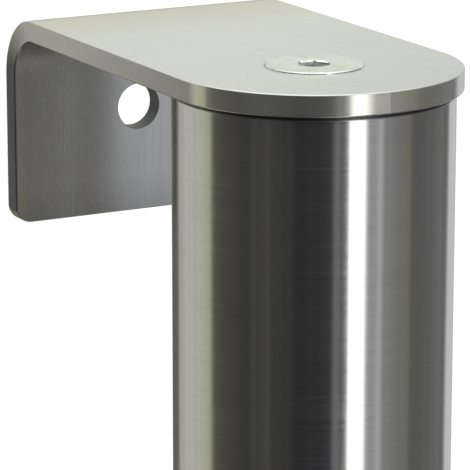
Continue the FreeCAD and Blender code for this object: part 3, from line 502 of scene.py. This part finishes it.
def socket_screw_rings(radius, across_flats, deep, land, shank, length, pitch, steps):
    """Rings of the screw from the socket's point round to the tip, as heights below its top. Inside
    the socket a ring's radius is the hexagon's, half the flats over the cosine of the angle from
    the middle of the nearest flat. The thread's radius falls and rises along a helix of that pitch."""
    turn = np.linspace(0, 2 * np.pi, steps, endpoint=False)
    hexagon = across_flats / 2 / np.cos(turn % (np.pi / 3) - np.pi / 6)
    corner = across_flats / math.sqrt(3)
    cone = radius - shank
    inside = [(0.0001, 0, deep + 0.0011), (0.8 * across_flats / 2, 0, deep + 0.0001), (0.93, 1, deep),
              (0.995, 1, deep), (1.0, 1, deep - 0.0001), (1.0, 1, 0.0005), (1.01, 1, 0.0004),
              (corner + 0.0001, 0, 0.00005), (corner + 0.00025, 0, 0.0),
              (corner + 0.0004, 0, 0.0)]
    outside = [(radius - 0.0007, 0, 0.0), (radius - 0.0005, 0, 0.0), (radius - 0.0003, 0, 0.00005),
               (radius - 0.00012, 0, 0.0002), (radius, 0, 0.0004), (radius, 0, land),
               (radius - 0.0001, 0, land + 0.0001), (shank, 0, land + cone)]
    profile = np.array(inside + outside)
    reach = np.where(profile[:, 1:2] > 0, profile[:, 0:1] * hexagon, profile[:, 0:1])
    drop = np.repeat(profile[:, 2:3], steps, axis=1)
    thread_drop = np.linspace(land + cone + 0.0002, length - 0.0012, 96)[:, None]
    phase = (thread_drop / pitch + turn / (2 * np.pi)) % 1.0
    fade = np.clip((thread_drop - land - cone - 0.001) / 0.003, 0, 1)
    thread = shank - 0.0009 * fade * (1 - np.abs(2 * phase - 1))
    tip = np.array([[shank - 0.0013], [0.0001]]) * np.ones(steps)
    reach = np.concatenate([reach, thread, tip])
    drop = np.concatenate([drop, thread_drop * np.ones(steps), np.full((2, steps), length)])
    return np.stack([reach * np.cos(turn), reach * np.sin(turn), -drop], axis=-1)


screw_low, screw_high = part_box("head_screw")
screw_middle = (screw_low + screw_high) / 2
screw_rings = socket_screw_rings(radius=(screw_high.x - screw_low.x) / 2, across_flats=0.008, deep=0.0045,
                                 land=0.0007, shank=0.006, length=screw_high.z - screw_low.z,
                                 pitch=0.00175, steps=144)
screw_rings += np.array([screw_middle.x, screw_middle.y, screw_high.z])
head_screw = closed_shells("head_screw_detailed", [screw_rings], False)
head_screw.data.materials.append(tumbled("screw_stainless", grey(0.58, 0.02), grey(0.74, 0.02), 0.2, 500.0))
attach(head_screw, "post")
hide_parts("head_screw")


# ---- Turned and milled stainless parts -----------------------------------------------------------
# The plug in the tube's top, the key spindle, its pinion, the lock bolt and the rail are machined:
# the lathe leaves fine rings about each part's axis, the rail keeps its drawn lines, and the lock's
# parts carry a film of old grease.
def machined(name, centre, axis, pitch, greasy):
    """Rings of tool marks about an axis through centre, pitch metres apart, under a greasy film."""
    material, place = finish_of(name)
    from_centre = place.add("ShaderNodeVectorMath", {"operation": "SUBTRACT"}, {0: place, 1: centre})
    along = place.add("ShaderNodeVectorMath", {"operation": "DOT_PRODUCT"},
                      {0: from_centre, 1: axis}, "Value")
    far = place.add("ShaderNodeVectorMath", {"operation": "LENGTH"}, {0: from_centre}, "Value")
    out_from = place.maths("SQRT", place.maths("MAXIMUM", far * far - along * along, 0.0))
    marks = place.maths("SINE", (out_from + along * 0.83) * (math.tau / pitch))
    uneven = noise(place, 160.0, 4.0, 0.6)
    grease = between(noise(place, 34.0, 5.0, 0.6), 0.48, 0.7) * greasy
    fine = stretched(place, (900, 900, 900), 3.0, 0.6)
    colour = mixed(marks * 0.18 + uneven * 0.8, grey(0.50, 0.01), grey(0.66, 0.005))
    colour = mixed(grease * 0.6, colour, (0.20, 0.165, 0.11, 1))
    rough = between(uneven, 0.3, 0.7, 0.2, 0.3) + fine * 0.06 + grease * 0.08
    surface(place, colour, rough, bumped(marks * 0.35 + fine * 0.4, 0.00002, 0.8), 1.0 - grease * 0.4)
    return material


spindle_low, spindle_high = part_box("lock_spindle")
bolt_low, bolt_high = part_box("lock_bolt")
spindle_middle = tuple((spindle_low + spindle_high) / 2)
bolt_middle = tuple((bolt_low + bolt_high) / 2)
wear_finish(machined("plug_turning", (0, 0, 0), (0, 0, 1), 0.0006, 0.3), "top_plug")
wear_finish(machined("spindle_turning", spindle_middle, (0, 0, 1), 0.0004, 0.7),
            "lock_spindle", "lock_pinion")
wear_finish(machined("bolt_turning", bolt_middle, (1, 0, 0), 0.0005, 0.8), "lock_bolt")
wear_finish(machined("rail_drawing", (0, 0, -50.0), (1, 0, 0), 0.0005, 0.5), "anti_turn_rail")
wear_finish(scuffed_plate("cap_belt_grain", (1800, 24, 600), 5.1), "keyhole_cap")


# ---- Screws, pins and dowels ---------------------------------------------------------------------
# Stainless fasteners, cold headed and tumbled bright: rounder, softer gloss than the ground plate,
# with small nicks and dull patches of grease here and there.
wear_finish(tumbled("tumbled_stainless", grey(0.55, 0.01), grey(0.70, 0.02), 0.24, 700.0),
            "head_dowels", "upper_clevis_pin", "lower_clevis_pin", "foot_screws",
            "retaining_ring_screws", "lock_cover_screws", "bolt_guide_screws", "pinion_pin", "cap_hinge_pin")
wear_finish(tumbled("oiled_spring_steel", (0.10, 0.085, 0.07, 1), (0.19, 0.165, 0.14, 1), 0.34, 900.0),
            "spindle_clip")
wear_finish(tumbled("cast_bronze", (0.42, 0.235, 0.095, 1), (0.60, 0.375, 0.165, 1), 0.32, 520.0),
            "bolt_guide", "spindle_bush")


# ---- Floor, light and camera ---------------------------------------------------------------------
# A plain pale floor under the sleeve's base. The light is a tent with black flags and white boards
# stood round it, which give polished tube its upright stripes, under a bright soft ceiling.
floor_half = 60.0
floor_mesh = bpy.data.meshes.new("floor")
side = np.linspace(-floor_half, floor_half, 3)
gx, gy = np.meshgrid(side, side, indexing="ij")
floor_points = np.stack([gx, gy, np.full_like(gx, cad_low.z)], axis=-1).reshape(-1, 3)
corner = (np.arange(2)[:, None] * 3 + np.arange(2)[None, :]).ravel()
floor_faces = np.stack([corner, corner + 3, corner + 4, corner + 1], axis=1)
floor_mesh.from_pydata(floor_points.tolist(), [], floor_faces.tolist())
floor = bpy.data.objects.new("floor", floor_mesh)
bpy.context.scene.collection.objects.link(floor)
floor.visible_glossy = False
floor.visible_shadow = False
pale, at = finish_of("pale_floor")
surface(at, mixed(noise(at, 3.0, 4.0), grey(0.86), grey(0.89)), 0.8,
        bumped(noise(at, 240.0), 0.0002, 0.2), 0.0)
floor_mesh.materials.append(pale)

look_turn = math.radians(-27.92)
look_down = math.radians(14.02)
look = Vector((-math.sin(look_turn) * math.cos(look_down), math.cos(look_turn) * math.cos(look_down),
               -math.sin(look_down)))

world = bpy.data.worlds.new("light_tent")
bpy.context.scene.world = world
world.use_nodes = True
world.node_tree.nodes.clear()
ray = Shade(world.node_tree).add("ShaderNodeTexCoord", out="Generated")
ray_axes = ray.add("ShaderNodeSeparateXYZ", None, {0: ray})
to_right = ray_axes * math.cos(look_turn) + ray_axes.out(1) * math.sin(look_turn)
to_front = ray_axes * math.sin(look_turn) - ray_axes.out(1) * math.cos(look_turn)
round_angle = ray.maths("ARCTAN2", to_right, to_front) * (180 / math.pi)
up_angle = ray.maths("ARCSINE", ray_axes.out(2)) * (180 / math.pi)

# (angle round from the front of the tent in degrees, brightness, warmth)
boards = [(-180, 0.42, 0.0), (-171, 0.13, 0.06), (-146, 0.12, 0.06), (-142, 0.44, 0.07),
          (-122, 0.6, 0.06), (-104, 0.53, 0.13), (-93, 0.5, 0.24), (-91, 0.085, 0.24),
          (-53, 0.042, -0.03), (-50.5, 0.095, 0.08), (-48, 0.052, 0.06), (-43.5, 0.072, 0.06),
          (-37.5, 0.08, 0.06), (-35.5, 0.048, 0.08), (-19, 0.042, 0.04), (-16, 0.024, -0.08),
          (14, 0.034, -0.06), (17.3, 0.32, -0.04), (20.5, 0.07, -0.06), (26.8, 0.12, 0.0),
          (27.8, 2.3, 0.01), (39.8, 2.3, 0.01), (42, 0.32, 0.02), (50, 0.36, -0.01), (54, 0.74, -0.05),
          (57.5, 0.28, 0.0), (80, 0.22, 0.14), (88, 0.118, 0.06), (122, 0.19, 0.0), (136, 0.115, 0.0),
          (141.5, 0.76, -0.04), (180, 0.42, 0.0)]
wall = ray.add("ShaderNodeValToRGB",
               {"stops": [((angle + 180) / 360, grey(level, warm)) for angle, level, warm in boards]},
               {0: round_angle * (1 / 360) + 0.5})
streaks_at = ray.add("ShaderNodeCombineXYZ", None, {0: round_angle * 0.42, 1: 7.3, 2: 1.9})
streaks = noise(streaks_at, 1.0, 3.0, 0.75)
wall = ray.add("ShaderNodeVectorMath", {"operation": "SCALE"},
               {0: wall, "Scale": between(streaks, 0.3, 0.7, 0.70, 1.34)})
far_side = between(ray.maths("ABSOLUTE", round_angle), 60, 150)
ceiling = mixed(far_side, grey(0.55, 0.0), (0.94, 0.97, 0.87, 1))
ceiling = mixed(between(up_angle, 35, 60), ceiling, grey(1.85))
rise = up_angle - between(ray.maths("ABSOLUTE", round_angle), 85, 135, 22, 3)
tent = mixed(between(rise, 0, 7), wall, ceiling)
seen = ray.add("ShaderNodeLightPath", out="Is Camera Ray")
tent = mixed(seen, tent, grey(1.0))
background = ray.add("ShaderNodeBackground", None, {"Color": tent, "Strength": 1.0})
ray.add("ShaderNodeOutputWorld", None, {"Surface": background}, None)

camera_data = bpy.data.cameras.new("camera")
camera_data.sensor_width = 36.0
camera_data.lens = 247.75
camera_data.clip_start = 0.05
camera_data.clip_end = 300.0
camera = bpy.data.objects.new("camera", camera_data)
camera.location = Vector((-0.4142, -0.7367, head_high.z + 0.1644))
camera.rotation_mode = "QUATERNION"
camera.rotation_quaternion = look.to_track_quat("-Z", "Y")
bpy.context.scene.collection.objects.link(camera)
bpy.context.scene.camera = camera
bpy.context.scene.view_settings.view_transform = "Standard"
bpy.context.scene.view_settings.look = "None"
